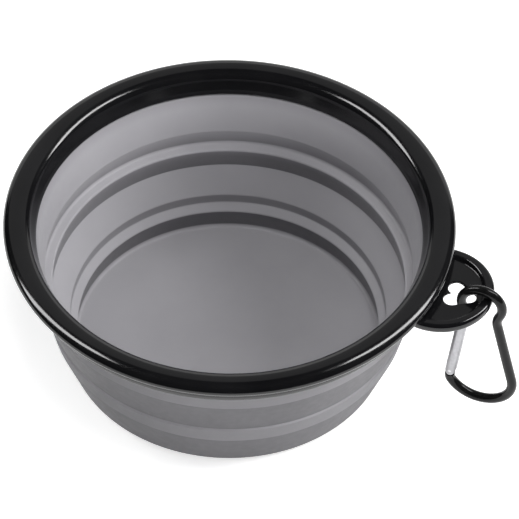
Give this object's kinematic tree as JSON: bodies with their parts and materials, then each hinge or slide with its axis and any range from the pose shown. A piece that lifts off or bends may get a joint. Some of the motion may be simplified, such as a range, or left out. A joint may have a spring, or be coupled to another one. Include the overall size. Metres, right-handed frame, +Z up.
{
  "type": "collapsible travel bowl",
  "caption": "Collapsible silicone travel bowl with a hard two-piece rim, a round hanging tab and a small spring-gate carabiner.",
  "frame": {"origin": "centre of the base's flat underside, on the plane the bowl stands on", "axes": "+Z up along the bowl's axis, +X from the axis out through the hanging tab"},
  "size_m": [0.1527, 0.13, 0.0527],
  "materials": {
    "silicone": "soft matte grey silicone",
    "rim": "glossy black moulded plastic",
    "black_metal": "black anodised aluminium wire",
    "bare_metal": "satin bare aluminium tube",
    "steel": "plain steel"
  },
  "bodies": {
    "rim": {"rim_frame": "rim", "rim_cover": "rim", "cup_upper_band": "silicone", "cup_upper_fold": "silicone"},
    "middle": {"cup_middle_band": "silicone", "cup_lower_fold": "silicone"},
    "base": {"cup_base": "silicone"},
    "carabiner": {"carabiner_body": "black_metal"},
    "gate": {"carabiner_gate": "bare_metal", "gate_hinge_pin": "steel", "gate_latch_pin": "steel", "gate_plunger": "steel", "gate_spring": "steel"}
  },
  "joints": [
    {"name": "base_collapse", "type": "slide", "parent": "rim", "child": "base", "axis": [0, 0, 1], "range_m": [0, 0.038]},
    {"name": "middle_collapse", "type": "slide", "parent": "rim", "child": "middle", "axis": [0, 0, 1], "range_m": [0, 0.019], "deforming": ["cup_upper_fold", "cup_middle_band", "cup_lower_fold"]},
    {"name": "carabiner_swing", "type": "hinge", "parent": "rim", "child": "carabiner", "pos_m": [0.0769, 0.0004, 0.0454], "axis": [0, -1, 0], "range_deg": [-16, 90]},
    {"name": "gate_hinge", "type": "hinge", "parent": "carabiner", "child": "gate", "pos_m": [0.06787, 0.0004, 0.01488], "axis": [0, 1, 0], "range_deg": [0, 17], "stiffness_Nm_per_rad": 0.03, "springref_deg": -17.19}
  ],
  "couplings": [
    {"joint": "middle_collapse", "follows": "base_collapse", "ratio": 0.5}
  ]
}
